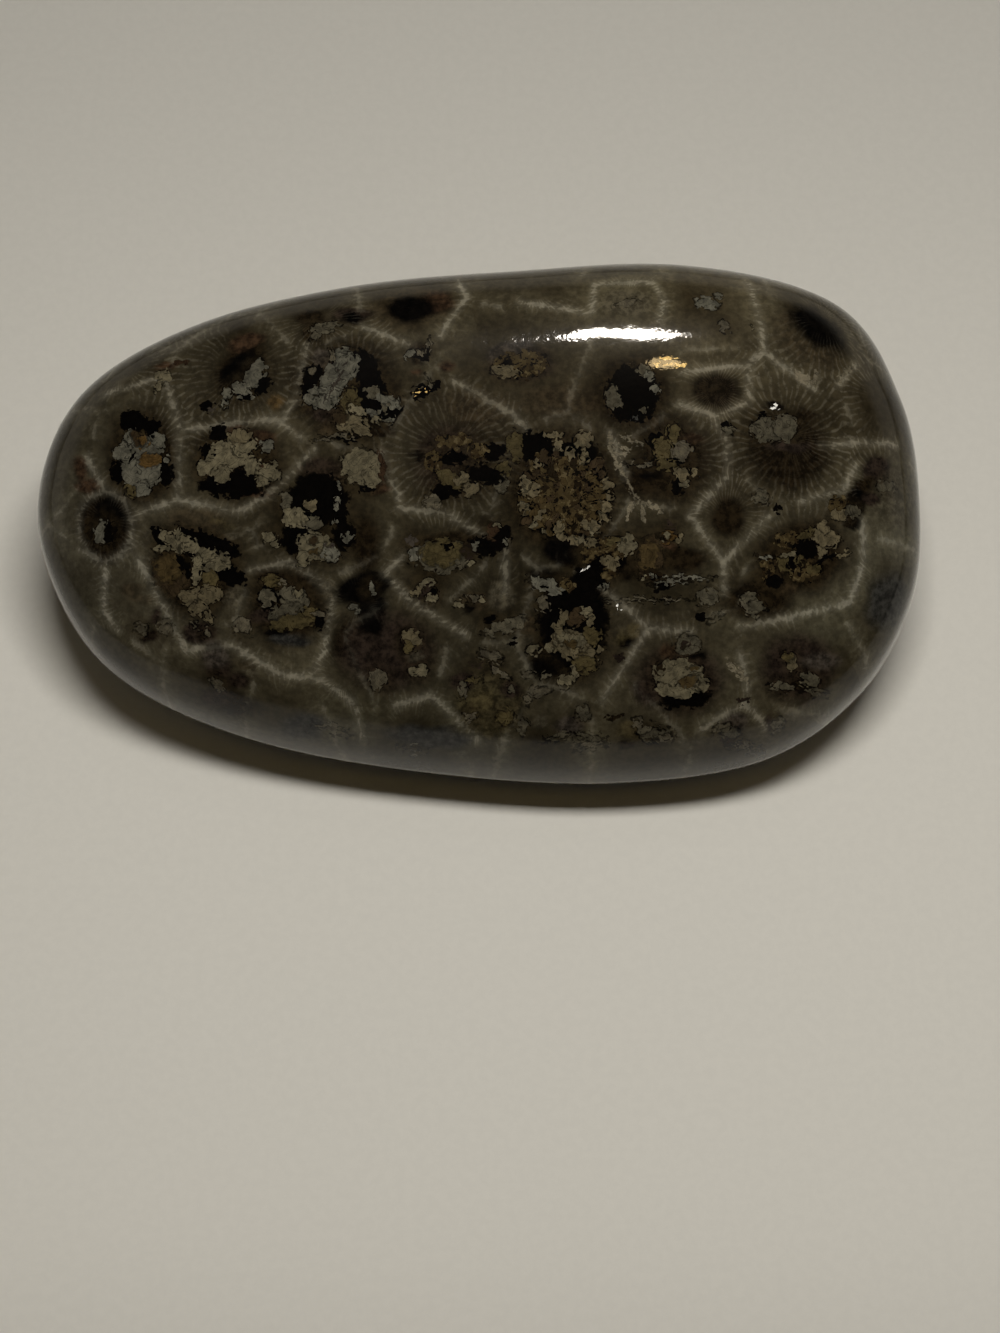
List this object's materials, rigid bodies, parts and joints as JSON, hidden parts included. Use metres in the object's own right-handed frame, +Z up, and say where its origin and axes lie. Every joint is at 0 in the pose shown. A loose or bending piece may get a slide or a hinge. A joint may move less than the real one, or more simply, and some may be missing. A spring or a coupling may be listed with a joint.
{
  "type": "polished fossil coral stone",
  "caption": "Egg-shaped pebble of fossil colony coral, hand-polished, lying on a small flat under its thicker back side.",
  "frame": {"origin": "middle of the stone's bounding box in plan, on the plane it rests on", "axes": "+X along the length to the broad end, +Y to the thick back side, +Z up, across the thickness"},
  "size_m": [0.0616, 0.0348, 0.0211],
  "materials": {
    "polished_fossil_coral": "hand-polished dark grey-brown fossil limestone with pale cell walls, glossy"
  },
  "bodies": {
    "root": {"fossil_coral_stone": "polished_fossil_coral"}
  },
  "joints": []
}
